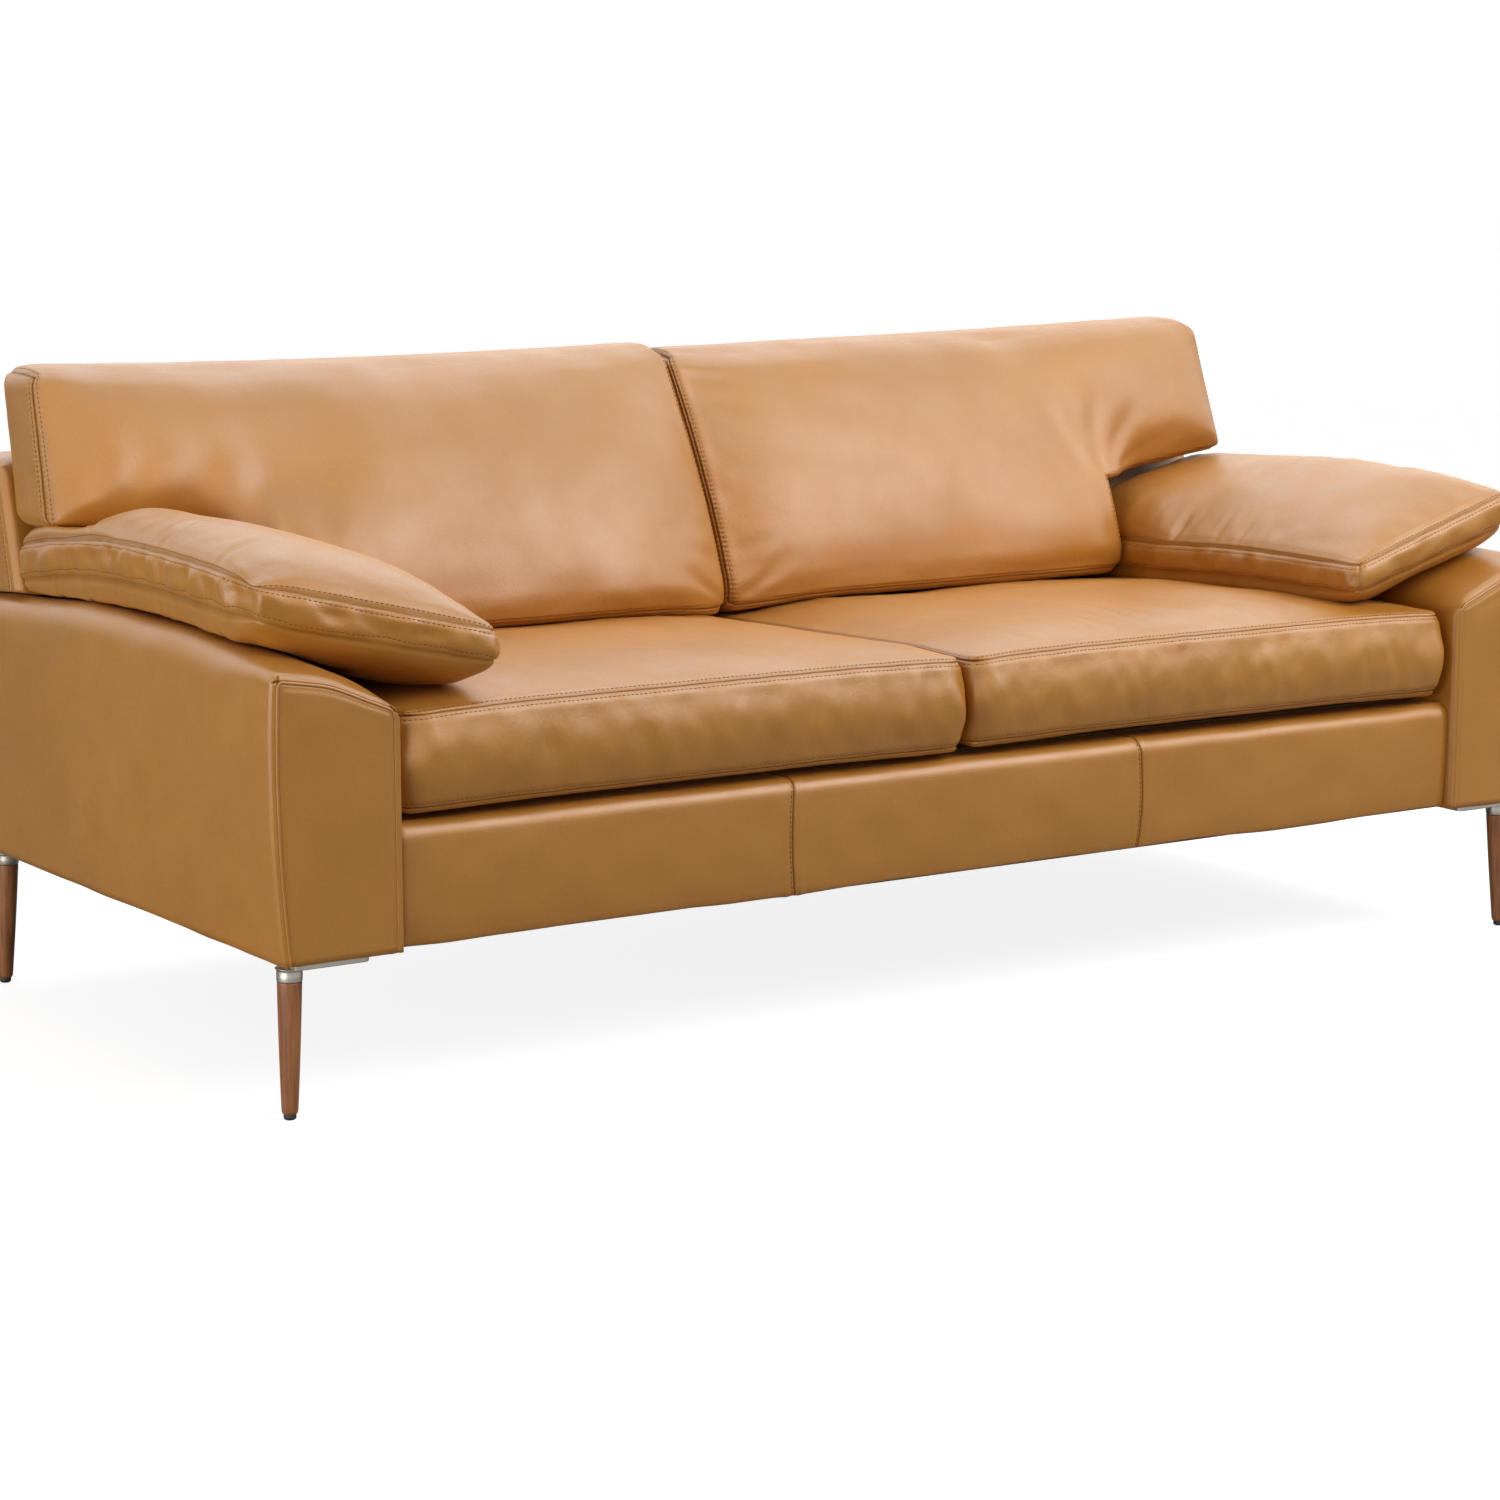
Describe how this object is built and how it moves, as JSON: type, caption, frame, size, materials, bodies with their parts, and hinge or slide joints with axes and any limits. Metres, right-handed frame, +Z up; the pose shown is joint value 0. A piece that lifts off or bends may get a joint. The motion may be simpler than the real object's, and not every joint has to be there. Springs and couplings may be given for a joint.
{
  "type": "sofa with wooden legs",
  "caption": "Upholstered leather sofa with loose seat, back and arm cushions, padded sloping arms and slim turned wooden legs on cast brackets.",
  "frame": {"origin": "on the floor under the middle of the sofa's outline", "axes": "+X along the sofa's width, to the right as seen from the front; the front faces -Y; +Z up"},
  "size_m": [2.001, 0.918, 0.833],
  "materials": {
    "leather": "satin",
    "leg_wood": "satin",
    "frame_wood": "matte",
    "aluminium": "satin",
    "steel": "satin",
    "black_plastic": "satin",
    "deck_fabric": "matte",
    "dust_fabric": "matte"
  },
  "bodies": {
    "sofa_frame": {"arm_cover_right": "leather", "arm_facing_right": "leather", "arm_inner_rail_right": "frame_wood", "arm_outer_rail_right": "frame_wood", "arm_front_post_right": "frame_wood", "arm_rear_post_right": "frame_wood", "arm_top_rail_right": "frame_wood", "corner_block_front_right": "frame_wood", "corner_block_rear_right": "frame_wood", "arm_cover_left": "leather", "arm_facing_left": "leather", "arm_inner_rail_left": "frame_wood", "arm_outer_rail_left": "frame_wood", "arm_front_post_left": "frame_wood", "arm_rear_post_left": "frame_wood", "arm_top_rail_left": "frame_wood", "corner_block_front_left": "frame_wood", "corner_block_rear_left": "frame_wood", "front_rail_cover": "leather", "back_cover": "leather", "back_outer_panel": "leather", "front_rail": "frame_wood", "rear_rail": "frame_wood", "centre_stretcher": "frame_wood", "back_top_rail": "frame_wood", "back_post_right": "frame_wood", "back_post_left": "frame_wood", "back_post_centre": "frame_wood", "seat_spring_1": "steel", "seat_spring_2": "steel", "seat_spring_3": "steel", "seat_spring_4": "steel", "seat_spring_5": "steel", "seat_spring_6": "steel", "seat_spring_7": "steel", "seat_spring_8": "steel", "seat_deck_pad": "deck_fabric", "dust_cover": "dust_fabric", "leg_bracket_front_right": "aluminium", "leg_front_right": "leg_wood", "glide_front_right": "black_plastic", "hanger_bolt_front_right": "steel", "leg_bracket_front_left": "aluminium", "leg_front_left": "leg_wood", "glide_front_left": "black_plastic", "hanger_bolt_front_left": "steel", "leg_bracket_rear_right": "aluminium", "leg_rear_right": "leg_wood", "glide_rear_right": "black_plastic", "hanger_bolt_rear_right": "steel", "leg_bracket_rear_left": "aluminium", "leg_rear_left": "leg_wood", "glide_rear_left": "black_plastic", "hanger_bolt_rear_left": "steel"},
    "seat_cushion_right": {"seat_cushion_right": "leather"},
    "back_cushion_right": {"back_cushion_right": "leather"},
    "arm_cushion_right": {"arm_cushion_right": "leather"},
    "seat_cushion_left": {"seat_cushion_left": "leather"},
    "back_cushion_left": {"back_cushion_left": "leather"},
    "arm_cushion_left": {"arm_cushion_left": "leather"}
  },
  "joints": [
    {"name": "seat_cushion_right_lift_out", "type": "slide", "parent": "sofa_frame", "child": "seat_cushion_right", "axis": [0, -0.9996, 0.03], "range_m": [0, 0.7]},
    {"name": "back_cushion_right_lift_out", "type": "slide", "parent": "sofa_frame", "child": "back_cushion_right", "axis": [0, 0.2873, 0.9578], "range_m": [0, 0.45]},
    {"name": "arm_cushion_right_lift_out", "type": "slide", "parent": "sofa_frame", "child": "arm_cushion_right", "axis": [0, -0.995, 0.0995], "range_m": [0, 0.75]},
    {"name": "seat_cushion_left_lift_out", "type": "slide", "parent": "sofa_frame", "child": "seat_cushion_left", "axis": [0, -0.9996, 0.03], "range_m": [0, 0.7]},
    {"name": "back_cushion_left_lift_out", "type": "slide", "parent": "sofa_frame", "child": "back_cushion_left", "axis": [0, 0.2873, 0.9578], "range_m": [0, 0.45]},
    {"name": "arm_cushion_left_lift_out", "type": "slide", "parent": "sofa_frame", "child": "arm_cushion_left", "axis": [0, -0.995, 0.0995], "range_m": [0, 0.75]}
  ]
}
